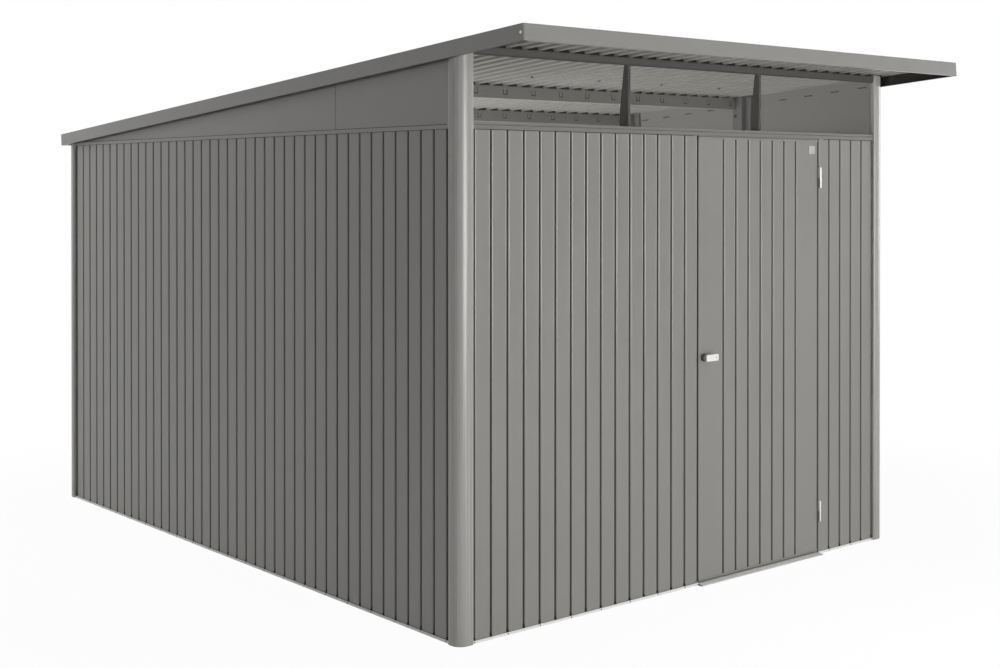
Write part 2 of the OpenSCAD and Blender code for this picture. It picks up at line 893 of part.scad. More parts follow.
base_rail_front();
base_rail_back();
base_rail_left();
base_rail_right();
door_threshold();
post_front_left();
post_front_right();
post_back_left();
post_back_right();
wall_front_left();
wall_front_right();
wall_left();
wall_right();
wall_back();
rail_front();
rail_left();
rail_right();
rail_back();
eaves_panel_back();
gable_left();
gable_right();
window_sill();
window_glass();
window_brackets();
window_header();
purlin_front();
purlin_middle();
purlin_rear();
purlin_posts();
roof_sheet_left();
roof_sheet_middle();
roof_sheet_right();
fascia_front();
fascia_left();
fascia_right();
gutter_rear();
door_jamb_left();
door_jamb_right();
door_head();
hinge_pins();
door_leaf();
door_rails();
door_hinges();
handle_rosette();
door_handle();
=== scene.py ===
"""Dresses the metal storage shed: coatings, some with painted shade and painted light, bare metal, clear strip,
fixings, seals, dark strips and plugs that stand in for shade, and the studio.
"""
from __future__ import annotations

import logging
import math
from abc import ABC, abstractmethod
from dataclasses import dataclass, field
from enum import Enum
from functools import cached_property
from typing import Any, Callable, Iterable

import bmesh
import bpy
from mathutils import Matrix, Vector


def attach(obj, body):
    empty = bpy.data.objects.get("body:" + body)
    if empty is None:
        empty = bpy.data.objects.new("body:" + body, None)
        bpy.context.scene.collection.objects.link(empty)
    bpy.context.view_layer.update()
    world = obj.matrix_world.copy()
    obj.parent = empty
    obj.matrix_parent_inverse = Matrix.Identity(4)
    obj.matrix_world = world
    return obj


LOG = logging.getLogger("shed")
Tone = tuple[float, float, float]
Place = tuple[float, float, float]
Span = tuple[float, float]
Piece = bpy.types.Object
Material = bpy.types.Material

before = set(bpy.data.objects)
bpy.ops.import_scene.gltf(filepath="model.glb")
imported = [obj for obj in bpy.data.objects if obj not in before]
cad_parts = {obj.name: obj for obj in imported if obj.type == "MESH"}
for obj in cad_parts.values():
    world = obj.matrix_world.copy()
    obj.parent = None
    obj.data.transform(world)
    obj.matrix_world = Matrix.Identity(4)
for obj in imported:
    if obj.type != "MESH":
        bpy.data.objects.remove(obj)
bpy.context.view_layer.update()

# Lengths of the solids that several classes share, in metres.
FRONT_Y = -1.50529
HALF_W = 1.270
DEPTH = 3.340
ROOF_HALF_W = 1.300
RIDGE_Z = 2.180
RISE = 0.251
PITCH = 0.080
PURLIN_STEP = 0.8

GREY: Tone = (0.236, 0.230, 0.216)
FLAKE_SPOTS = 1300.0
FLAT_SHARE = 0.99
LONG_SHARE = 0.9
SMOOTH_DEG = 35.0
QUARTER_TURN = math.pi / 2


class Body(Enum):
    """Bodies of the shed that pieces move with."""

    SHED = "shed"
    DOOR = "door"
    HANDLE = "handle"


class Slot(Enum):
    """Finishes of the record, named when a new piece is fitted."""

    ALUMINIUM = "bare_aluminium"
    STEEL = "stainless"
    PLASTIC = "black_plastic"
    GREY = "grey_paint"
    DARK = "dark_paint"


class Stock(Enum):
    """Shapes that modelling starts from."""

    BLOCK = "block"
    ROD = "rod"


class Element(Enum):
    """Parts of a mesh that can be selected."""

    FACE = "faces"
    EDGE = "edges"


class Side(Enum):
    """Walls of the shed."""

    FRONT = "front"
    BACK = "back"
    LEFT = "left"
    RIGHT = "right"


class Signal:
    """A shader socket that adds Math nodes when it takes part in arithmetic."""

    def __init__(self, graph: Graph, socket: bpy.types.NodeSocket) -> None:
        """Wrap an output socket of a graph."""
        self.graph = graph
        self.socket = socket

    def _math(self, operation: str, left: Signal | float, right: Signal | float) -> Signal:
        """Add one Math node."""
        return self.graph.node("ShaderNodeMath", {"operation": operation}, {0: left, 1: right})

    def __add__(self, other: Signal | float) -> Signal:
        """Sum."""
        return self._math("ADD", self, other)

    def __sub__(self, other: Signal | float) -> Signal:
        """Difference."""
        return self._math("SUBTRACT", self, other)

    def __rsub__(self, other: float) -> Signal:
        """Difference from a number."""
        return self._math("SUBTRACT", other, self)

    def __mul__(self, other: Signal | float) -> Signal:
        """Product."""
        return self._math("MULTIPLY", self, other)

    def __pow__(self, other: float) -> Signal:
        """Power."""
        return self._math("POWER", self, other)

    __radd__ = __add__
    __rmul__ = __mul__

    def larger(self, other: Signal | float) -> Signal:
        """Larger of two values."""
        return self._math("MAXIMUM", self, other)

    def unsigned(self) -> Signal:
        """Value without its sign."""
        return self.larger(self * -1.0)

    def ramp(self, low: float, high: float) -> Signal:
        """Smooth step from 0 at a low value to 1 at a high one."""
        limits = {"Value": self, "From Min": low, "From Max": high, "To Min": 0.0, "To Max": 1.0}
        return self.graph.node("ShaderNodeMapRange", {"interpolation_type": "SMOOTHSTEP", "clamp": True}, limits)


class Graph:
    """Node tree of a material or of the world."""

    def __init__(self, tree: bpy.types.NodeTree) -> None:
        """Empty a node tree and take it over."""
        self.tree = tree
        tree.nodes.clear()

    @classmethod
    def of_material(cls, name: str) -> tuple[Material, Graph]:
        """Make a material.

        Args:
            name: Name of the material.

        Returns:
            The material and its graph.
        """
        material = bpy.data.materials.new(name)
        material.use_nodes = True
        return material, cls(material.node_tree)

    def node(self, kind: str, settings: dict[str, Any] | None = None,
             sockets: dict[str | int, Any] | None = None, output: str | int = 0) -> Signal | None:
        """Add a node of any kind.

        Args:
            kind: Type of the node.
            settings: Properties of the node, set first.
            sockets: Values or links of its inputs, by name or number.
            output: Output that is wanted.

        Returns:
            The wanted output, or None where the node has none.
        """
        added = self.tree.nodes.new(kind)
        for name, value in (settings or {}).items():
            setattr(added, name, value)
        for key, value in (sockets or {}).items():
            if isinstance(value, Signal):
                self.tree.links.new(value.socket, added.inputs[key])
            else:
                added.inputs[key].default_value = value
        return Signal(self, added.outputs[output]) if len(added.outputs) else None

    @cached_property
    def place(self) -> Signal:
        """Place on the piece, in metres."""
        return self.node("ShaderNodeTexCoord", output="Object")

    def axis(self, name: str) -> Signal:
        """One coordinate of the place."""
        return self.node("ShaderNodeSeparateXYZ", sockets={0: self.place}, output=name)

    def noise(self, spots: float | Place, detail: float, rough: float = 0.5) -> Signal:
        """Cloudy value about 0.5.

        Args:
            spots: Number of spots in a metre, for all axes or for each.
            detail: Octaves.
            rough: Share of each finer octave.

        Returns:
            The value.
        """
        at, scale = self.place, spots
        if isinstance(spots, tuple):
            at = self.node("ShaderNodeMapping", {"vector_type": "POINT"}, {"Vector": at, "Scale": spots})
            scale = 1.0
        return self.node("ShaderNodeTexNoise", {"noise_dimensions": "3D"},
                         {"Vector": at, "Scale": scale, "Detail": detail, "Roughness": rough}, "Fac")

    def mix(self, factor: Signal, first: Tone | Signal, second: Tone | Signal) -> Signal:
        """Blend of two colours: the first where the factor is 0, the second where it is 1."""
        ends = {i: tone if isinstance(tone, Signal) else (*tone, 1.0) for i, tone in ((6, first), (7, second))}
        return self.node("ShaderNodeMix", {"data_type": "RGBA", "clamp_factor": True}, {0: factor, **ends}, 2)

    def mottled(self, factor: Signal, tone: Tone, low: float, high: float) -> Signal:
        """Colour that goes from one share of itself to another."""
        dark, light = (tuple(part * share for part in tone) for share in (low, high))
        return self.mix(factor, dark, light)

    def bump(self, height: Signal, strength: float, reach: float, edge: float = 0.0) -> Signal:
        """Normal of a surface with a relief.

        Args:
            height: Relief from 0 to 1.
            strength: How much of it shows.
            reach: Height of the relief in metres.
            edge: Radius that folds are rounded to, in metres.

        Returns:
            The normal.
        """
        sockets: dict[str | int, Any] = {"Strength": strength, "Distance": reach, "Height": height}
        if edge > 0.0:
            sockets["Normal"] = self.node("ShaderNodeBevel", {"samples": 4}, {"Radius": edge}, "Normal")
        return self.node("ShaderNodeBump", sockets=sockets, output="Normal")

    def principled(self, **sockets: Any) -> Signal:
        """Principled shader; an underscore in an input's name stands for a space."""
        named = {name.replace("_", " "): value for name, value in sockets.items()}
        return self.node("ShaderNodeBsdfPrincipled", sockets=named)

    def surface(self, shader: Signal) -> None:
        """Join a shader to the output."""
        self.node("ShaderNodeOutputMaterial", sockets={"Surface": shader})


class Finish(ABC):
    """A finish that can be made into a material."""

    name: str

    @abstractmethod
    def shader(self, graph: Graph) -> Signal:
        """Add the nodes of the finish.

        Args:
            graph: Graph of the material.

        Returns:
            The shader.
        """

    def material(self) -> Material:
        """Make the material.

        Returns:
            The material.
        """
        material, graph = Graph.of_material(self.name)
        graph.surface(self.shader(graph))
        return material


@dataclass(frozen=True)
class SheetPaint(Finish):
    """Satin grey coating with a fine metal flake, on formed sheet."""

    name: str = "sheet_paint"
    tone: Tone = GREY
    dust: Tone = (0.36, 0.34, 0.30)
    gloss: float = 0.30
    flake_share: float = 0.05
    cloud_share: float = 0.035
    contrast: float = 1.6
    wave: float = 0.10
    dust_share: float = 0.10
    dust_top: float = 0.34
    shine: float = 0.65
    metal: float = 0.05
    relief: float = 0.012
    cloud_spots: float = 1.7
    peel_spots: float = 420.0
    wave_spots: Place = (3.0, 3.0, 1.1)
    rolled_spots: Place = (260.0, 260.0, 0.7)

    def with_painted_shade(self, graph: Graph, colour: Signal) -> Signal:
        """Colour of the coating, before the painted shade that some coatings add."""
        return colour

    def shader(self, graph: Graph) -> Signal:
        """Add the nodes of the coating.

        Args:
            graph: Graph of the material.

        Returns:
            The shader.
        """
        cloud = graph.noise(self.cloud_spots, 3.0)
        flake = graph.noise(FLAKE_SPOTS, 1.0)
        peel = graph.noise(self.peel_spots, 1.0)
        wave = graph.noise(self.wave_spots, 1.0)
        rolled = graph.noise(self.rolled_spots, 1.0)
        dusty = (1.0 - graph.axis("Z").ramp(0.0, self.dust_top)) * (0.35 + cloud * 0.9)
        spread = self.flake_share + self.cloud_share
        clouded = (cloud * 0.7 + rolled * 0.3) * (self.cloud_share / spread)
        coat = graph.mottled(flake * (self.flake_share / spread) + clouded, self.tone,
                             1.0 - spread * self.contrast, 1.0 + spread * self.contrast)
        return graph.principled(
            Base_Color=self.with_painted_shade(graph, graph.mix(dusty * self.dust_share, coat, self.dust)),
            Roughness=self.gloss + (cloud - 0.5) * 0.10 + (flake - 0.5) * 0.06 + dusty * 0.10,
            Metallic=self.metal,
            Specular_IOR_Level=self.shine,
            Normal=graph.bump(wave * 0.8 + peel * 0.012 + rolled * 0.008, self.wave, self.relief))


@dataclass(frozen=True)
class WallPaint(SheetPaint):
    """Coating of the walls and the door, with painted shade in the beds of the grooves."""

    name: str = "wall_paint"
    groove_shade: Tone = (0.050, 0.048, 0.045)
    groove_shade_share: float = 0.60
    groove_shade_depths: Span = (0.0012, 0.0048)
    inner_depths: Span = (0.0115, 0.0125)

    def with_painted_shade(self, graph: Graph, colour: Signal) -> Signal:
        """Colour of the coating, with painted shade in the beds of the grooves.

        Args:
            graph: Graph of the material.
            colour: Colour of the coating.

        Returns:
            The colour.
        """
        along = graph.axis("Y")
        outward = graph.axis("X").unsigned() - HALF_W
        bed = outward.larger(FRONT_Y - along).larger(along - (FRONT_Y + DEPTH)) * -1.0
        # Painted shade: the colour darkens from just below the groove shoulders down to the groove beds.
        shaded_bed = bed.ramp(*self.groove_shade_depths) * (1.0 - bed.ramp(*self.inner_depths))
        return graph.mix(shaded_bed * self.groove_shade_share, colour, self.groove_shade)


@dataclass(frozen=True)
class BoardPaint(SheetPaint):
    """Coating of the boards along the roof's sides, with painted shade on their inner faces and under their top
    flanges.
    """

    name: str = "board_paint"
    inner_shade: Tone = (0.030, 0.029, 0.028)
    skin: Span = (0.0003, 0.0010)
    flange: Span = (0.006, 0.010)

    def with_painted_shade(self, graph: Graph, colour: Signal) -> Signal:
        """Colour of the coating, with painted shade behind the outer face and under the top flange.

        Args:
            graph: Graph of the material.
            colour: Colour of the coating.

        Returns:
            The colour.
        """
        within = ROOF_HALF_W - graph.axis("X").unsigned()
        over = graph.axis("Z") + (graph.axis("Y") - FRONT_Y) * (RISE / DEPTH) - RIDGE_Z
        # Painted shade: dark behind the outer face, where the board's inside is in shadow.
        bare = within.ramp(*self.skin) * (1.0 - over.ramp(*self.flange))
        return graph.mix(bare, colour, self.inner_shade)


@dataclass(frozen=True)
class PostCoat(Finish):
    """Smoother coating of the drawn corner posts, lighter than the wall paint as painted light for the broad
    highlights on their rounded corners.
    """

    name: str = "post_coat"
    # Lighter than the wall paint: painted light for the posts' highlights.
    tone: Tone = (0.345, 0.337, 0.321)
    gloss: float = 0.27
    shine: float = 0.65
    metal: float = 0.05
    spread: float = 0.08
    relief: float = 0.0006
    fold: float = 0.004
    cloud_spots: float = 2.3
    drawn_spots: Place = (420.0, 420.0, 0.9)

    def shader(self, graph: Graph) -> Signal:
        """Add the nodes of the coating.

        Args:
            graph: Graph of the material.

        Returns:
            The shader.
        """
        drawn = graph.noise(self.drawn_spots, 2.0)
        flake = graph.noise(FLAKE_SPOTS, 1.0)
        cloud = graph.noise(self.cloud_spots, 2.0)
        return graph.principled(
            Base_Color=graph.mottled(drawn * 0.45 + flake * 0.35 + cloud * 0.2, self.tone,
                                     1.0 - self.spread, 1.0 + self.spread),
            Roughness=self.gloss + (drawn - 0.5) * 0.10,
            Metallic=self.metal,
            Specular_IOR_Level=self.shine,
            Normal=graph.bump(drawn, 0.06, self.relief, self.fold))


@dataclass(frozen=True)
class BareMetal(Finish):
    """Uncoated metal with fine lines along its run."""

    name: str
    tone: Tone
    run: Place
    gloss: float = 0.34
    line_share: float = 0.10
    metal: float = 1.0
    relief: float = 0.0004
    blotch_spots: float = 14.0

    def shader(self, graph: Graph) -> Signal:
        """Add the nodes of the metal.

        Args:
            graph: Graph of the material.

        Returns:
            The shader.
        """
        lines = graph.noise(self.run, 3.0, 0.6)
        blotch = graph.noise(self.blotch_spots, 3.0)
        return graph.principled(
            Base_Color=graph.mottled(lines * 0.7 + blotch * 0.3, self.tone,
                                     1.0 - self.line_share, 1.0 + self.line_share),
            Roughness=self.gloss + (lines - 0.5) * 0.16 + (blotch - 0.5) * 0.08,
            Metallic=self.metal,
            Normal=graph.bump(lines, 0.10, self.relief))


@dataclass(frozen=True)
class HingeCoat(Finish):
    """Grey coating of the hinge arms, with the barrels left as bare steel."""

    name: str = "hinge_coat"
    tone: Tone = GREY
    bare: Tone = (0.74, 0.735, 0.72)
    axis: Span = (0.8100, -1.51079)
    bare_r: Span = (0.0044, 0.0049)
    gloss: float = 0.34
    grain_spots: Place = (900.0, 900.0, 40.0)

    def shader(self, graph: Graph) -> Signal:
        """Add the nodes of the coating and the steel.

        Args:
            graph: Graph of the material.

        Returns:
            The shader.
        """
        x = graph.axis("X") - self.axis[0]
        y = graph.axis("Y") - self.axis[1]
        steel = 1.0 - ((x * x + y * y) ** 0.5).ramp(*self.bare_r)
        grain = graph.noise(self.grain_spots, 2.0)
        return graph.principled(
            Base_Color=graph.mix(grain * 0.10, graph.mix(steel, self.tone, self.bare), self.tone),
            Roughness=grain * 0.08 + self.gloss,
            Metallic=steel * 0.9)


@dataclass(frozen=True)
class DarkGrain(Finish):
    """Dull dark plastic, rubber or foam with a fine grain."""

    name: str
    tone: Tone
    gloss: float
    grain_spots: float
    relief: float = 0.0004
    worn_spots: float = 30.0

    def shader(self, graph: Graph) -> Signal:
        """Add the nodes of the grain.

        Args:
            graph: Graph of the material.

        Returns:
            The shader.
        """
        grain = graph.noise(self.grain_spots, 2.0, 0.6)
        worn = graph.noise(self.worn_spots, 2.0)
        return graph.principled(
            Base_Color=graph.mottled(grain * 0.6 + worn * 0.4, self.tone, 0.7, 1.35),
            Roughness=self.gloss + (grain - 0.5) * 0.2,
            Normal=graph.bump(grain, 0.25, self.relief))


@dataclass(frozen=True)
class ClearSheet(Finish):
    """Clear plastic glazing that reflects at a slant and carries a little haze."""

    name: str = "clear_glazing"
    haze: Tone = (0.62, 0.63, 0.62)
    tint: Tone = (0.975, 0.975, 0.972)
    haze_share: float = 0.006
    shine_share: float = 0.012
    slant_share: float = 0.6
    film_spots: float = 5.0
    scuff_spots: Place = (4.0, 4.0, 240.0)

    def shader(self, graph: Graph) -> Signal:
        """Add the nodes of the clear sheet.

        Args:
            graph: Graph of the material.

        Returns:
            The shader.
        """
        film = graph.noise(self.film_spots, 4.0, 0.6)
        scuff = graph.noise(self.scuff_spots, 2.0)
        slant = graph.node("ShaderNodeLayerWeight", sockets={"Blend": 0.5}, output="Facing") ** 5.0
        body = graph.principled(Base_Color=(*self.haze, 1.0), Roughness=0.05 + scuff * 0.05 + film * 0.04)
        clear = graph.node("ShaderNodeBsdfTransparent", sockets={"Color": (*self.tint, 1.0)})
        share = self.haze_share * (0.5 + film) + self.shine_share + slant * self.slant_share
        return graph.node("ShaderNodeMixShader", sockets={0: share, 1: clear, 2: body})


def made(finish: Finish) -> Any:
    """Field that holds a finish as a material."""
    return field(default_factory=finish.material)


@dataclass
class Finishes:
    """All materials of the shed, made once."""

    paint: Material = made(SheetPaint())
    inner: Material = made(SheetPaint("inner_paint", gloss=0.45, shine=0.4, wave=0.04, dust_share=0.04))
    roof: Material = made(SheetPaint("roof_paint", gloss=0.34, shine=0.55, wave=0.02, dust_share=0.04))
    wall: Material = made(WallPaint())
    board: Material = made(BoardPaint())
    # Painted light: the sheet paint made lighter on the front board for the light that falls on it.
    fascia: Material = made(SheetPaint("fascia_paint", (0.252, 0.246, 0.232)))
    hinge: Material = made(HingeCoat())
    rosette: Material = made(DarkGrain("rosette_plastic", (0.045, 0.045, 0.043), 0.5, 1500.0))
    # Painted shade: the header is the sheets' grey, darkened for the shade under the roof's overhang.
    header: Material = made(SheetPaint(
        "header_paint", (0.078, 0.076, 0.071), gloss=0.5, shine=0.4, wave=0.03, dust_share=0.04))
    # Painted shade: the purlin uprights are the sheets' grey, darkened for the shade inside the shed.
    upright: Material = made(SheetPaint(
        "upright_paint", (0.150, 0.146, 0.138), gloss=0.45, shine=0.4, wave=0.03))
    post: Material = made(PostCoat())
    # Dark paint, with its tone lowered further as painted shade for the brackets behind the clear strip, under
    # the overhang.
    dark: Material = made(SheetPaint(
        "dark_paint", (0.040, 0.039, 0.037), gloss=0.62, wave=0.03, dust_share=0.05))
    bar: Material = made(SheetPaint("bar_paint", (0.168, 0.164, 0.154), wave=0.03, dust_share=0.04))
    rail: Material = made(BareMetal("mill_aluminium", (0.82, 0.82, 0.81), (6.0, 6.0, 900.0), 0.5, 0.06, 0.1))
    sill: Material = made(BareMetal(
        "threshold_aluminium", (0.70, 0.70, 0.69), (5.0, 700.0, 700.0), 0.42, 0.06, 0.1))
    plate: Material = made(BareMetal("plate_aluminium", (0.40, 0.395, 0.38), (40.0, 900.0, 900.0), 0.40, 0.06))
    steel: Material = made(BareMetal("brushed_steel", (0.84, 0.835, 0.82), (60.0, 2600.0, 2600.0), 0.22, 0.07))
    zinc: Material = made(BareMetal("zinc_steel", (0.56, 0.56, 0.55), (300.0, 300.0, 300.0), 0.4, 0.12))
    plastic: Material = made(DarkGrain("black_plastic", (0.020, 0.020, 0.020), 0.48, 1800.0))
    rubber: Material = made(DarkGrain("black_rubber", (0.014, 0.014, 0.014), 0.72, 900.0))
    foam: Material = made(DarkGrain("black_foam", (0.010, 0.010, 0.010), 0.9, 600.0, 0.001))
    mesh: Material = made(DarkGrain("vent_mesh_grey", (0.060, 0.060, 0.058), 0.7, 1500.0))
    clear: Material = made(ClearSheet())


def deselect() -> None:
    """Leave edit mode and deselect everything."""
    if bpy.context.mode != "OBJECT":
        bpy.ops.object.mode_set(mode="OBJECT")
    bpy.ops.object.select_all(action="DESELECT")


def facing(x: float = 0.0, y: float = 0.0, z: float = 0.0) -> Callable[[bmesh.types.BMFace], bool]:
    """Test for faces that look along a direction."""
    return lambda face: face.normal.dot(Vector((x, y, z))) > FLAT_SHARE


class Work:
    """A new piece while it is modelled; each step gives the work back for the next one."""

    def __init__(self, stock: Stock, name: str, size: Place, at: Place, sides: int = 16) -> None:
        """Add a primitive at its size and place.

        Args:
            stock: Shape to start from.
            name: Name of the piece.
            size: Size along X, Y and Z; a rod takes its diameter from X.
            at: Middle of the shape.
            sides: Sides of a rod.
        """
        deselect()
        if stock is Stock.BLOCK:
            bpy.ops.mesh.primitive_cube_add(size=1.0, location=at)
            bpy.context.object.scale = size
        else:
            bpy.ops.mesh.primitive_cylinder_add(
                vertices=sides, radius=size[0] / 2, depth=size[2], location=at, end_fill_type="NGON")
        self.piece = bpy.context.object
        self.piece.name = self.piece.data.name = name
        bpy.ops.object.transform_apply(location=True, rotation=True, scale=True)

    def pick(self, element: Element, test: Callable[[Any], bool]) -> Work:
        """Select the faces or edges that pass a test, in edit mode.

        Args:
            element: What is selected.
            test: Says whether a face or an edge is wanted.

        Returns:
            The work.
        """
        bpy.ops.object.mode_set(mode="EDIT")
        bpy.ops.mesh.select_mode(type=element.name)
        bpy.ops.mesh.select_all(action="DESELECT")
        shape = bmesh.from_edit_mesh(self.piece.data)
        for each in getattr(shape, element.value):
            each.select_set(test(each))
        shape.select_flush_mode()
        bmesh.update_edit_mesh(self.piece.data)
        return self

    def faces(self, test: Callable[[bmesh.types.BMFace], bool]) -> Work:
        """Select the faces that pass a test."""
        return self.pick(Element.FACE, test)

    def edges(self, test: Callable[[Vector, Vector], bool]) -> Work:
        """Select the edges whose ends pass a test."""
        return self.pick(Element.EDGE, lambda edge: test(edge.verts[0].co, edge.verts[1].co))

    def rounded(self, width: float, segments: int = 2) -> Work:
        """Bevel the selected edges."""
        bpy.ops.mesh.bevel(offset=width, offset_type="OFFSET", segments=segments, affect="EDGES")
        return self

    def raised(self, step: Place) -> Work:
        """Extrude the selected faces."""
        bpy.ops.mesh.extrude_region_move(TRANSFORM_OT_translate={"value": step})
        return self

    def inset(self, width: float, depth: float = 0.0) -> Work:
        """Inset the selected faces."""
        bpy.ops.mesh.inset(thickness=width, depth=depth)
        return self

    def narrowed(self, share: float) -> Work:
        """Scale what is selected along X."""
        bpy.ops.transform.resize(value=(share, 1.0, 1.0))
        return self

    def split(self, at: Place, normal: Place) -> None:
        """Cut all faces along a plane."""
        bpy.ops.mesh.select_all(action="SELECT")
        bpy.ops.mesh.bisect(plane_co=at, plane_no=normal)

    def done(self, place: Matrix | None = None) -> Piece:
        """Leave edit mode, turn the normals out, smooth the shallow edges and put the piece in its place.

        Args:
            place: Where the piece goes, if not where it was modelled.

        Returns:
            The piece.
        """
        bpy.ops.object.mode_set(mode="EDIT")
        bpy.ops.mesh.select_all(action="SELECT")
        bpy.ops.mesh.normals_make_consistent(inside=False)
        bpy.ops.object.mode_set(mode="OBJECT")
        bpy.ops.object.shade_smooth_by_angle(angle=math.radians(SMOOTH_DEG))
        if place is not None:
            self.piece.data.transform(place)
        return self.piece


def bar(name: str, size: Place, at: Place, radius: float, segments: int, side: float = -1.0) -> Work:
    """Start a long bar with two rounded edges.

    Args:
        name: Name of the piece.
        size: Size along X, Y and Z.
        at: Middle of the bar.
        radius: Radius of the edges.
        segments: Segments of each edge.
        side: Side along Y that has them.

    Returns:
        The work.
    """
    work = Work(Stock.BLOCK, name, size, at)
    work.edges(lambda a, b: (a - b).length > max(size) * LONG_SHARE and (a.y - at[1]) * side > 0.0)
    return work.rounded(radius, segments)


def row(pattern: Piece, name: str, places: Iterable[Matrix]) -> Piece:
    """Copy a pattern to many places and join the copies into one piece.

    Args:
        pattern: Piece modelled about the origin; it is used up.
        name: Name of the joined piece.
        places: Where each copy goes.

    Returns:
        The joined piece.
    """
    copies = []
    for place in places:
        copy = pattern.copy()
        copy.data = pattern.data.copy()
        copy.data.transform(place)
        bpy.context.scene.collection.objects.link(copy)
        copies.append(copy)
    bpy.data.objects.remove(pattern)
    deselect()
    for copy in copies:
        copy.select_set(True)
    bpy.context.view_layer.objects.active = copies[0]
    bpy.ops.object.join()
    joined = bpy.context.object
    joined.name = joined.data.name = name
    return joined


@dataclass(frozen=True)
class Stud:
    """Screw, nut or bolt: a head on a washer, about the origin and along Z."""

    name: str
    washer_d: float
    washer_t: float
    shoulder: Span
    head_h: float
    crown: Span
    sides: int = 12
    up: float = 1.0

    def model(self) -> Piece:
        """Model it.

        Returns:
            The piece.
        """
        stud = Work(Stock.ROD, self.name, (self.washer_d, self.washer_d, self.washer_t),
                    (0.0, 0.0, self.up * self.washer_t / 2), self.sides)
        stud.faces(facing(z=self.up)).inset(*self.shoulder).raised((0.0, 0.0, self.up * self.head_h))
        return stud.inset(*self.crown).done()


@dataclass
class Assembly(ABC):
    """Part of the shed that builds its small pieces and dresses its nodes."""

    finishes: Finishes
    front_y: float = FRONT_Y
    pieces: list[str] = field(default_factory=list)

    @abstractmethod
    def build(self) -> None:
        """Model the pieces that the solids lack."""

    @abstractmethod
    def dress(self) -> None:
        """Give the nodes their finishes."""

    def coat(self, finish: Material, *nodes: str) -> None:
        """Put a finish on solids.

        Args:
            finish: Material to use.
            nodes: Names of the solids.
        """
        for name in nodes:
            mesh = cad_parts[name].data
            mesh.materials.clear()
            mesh.materials.append(finish)

    def fit(self, piece: Piece, finish: Material, body: Body = Body.SHED, slot: Slot = Slot.PLASTIC) -> None:
        """Finish a new piece and let it ride on a body.

        Args:
            piece: New piece.
            finish: Material to use.
            body: Body that carries it.
            slot: Finish of the record that it takes; not used.
        """
        piece.data.materials.clear()
        piece.data.materials.append(finish)
        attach(piece, body.value)
        self.pieces.append(piece.name)


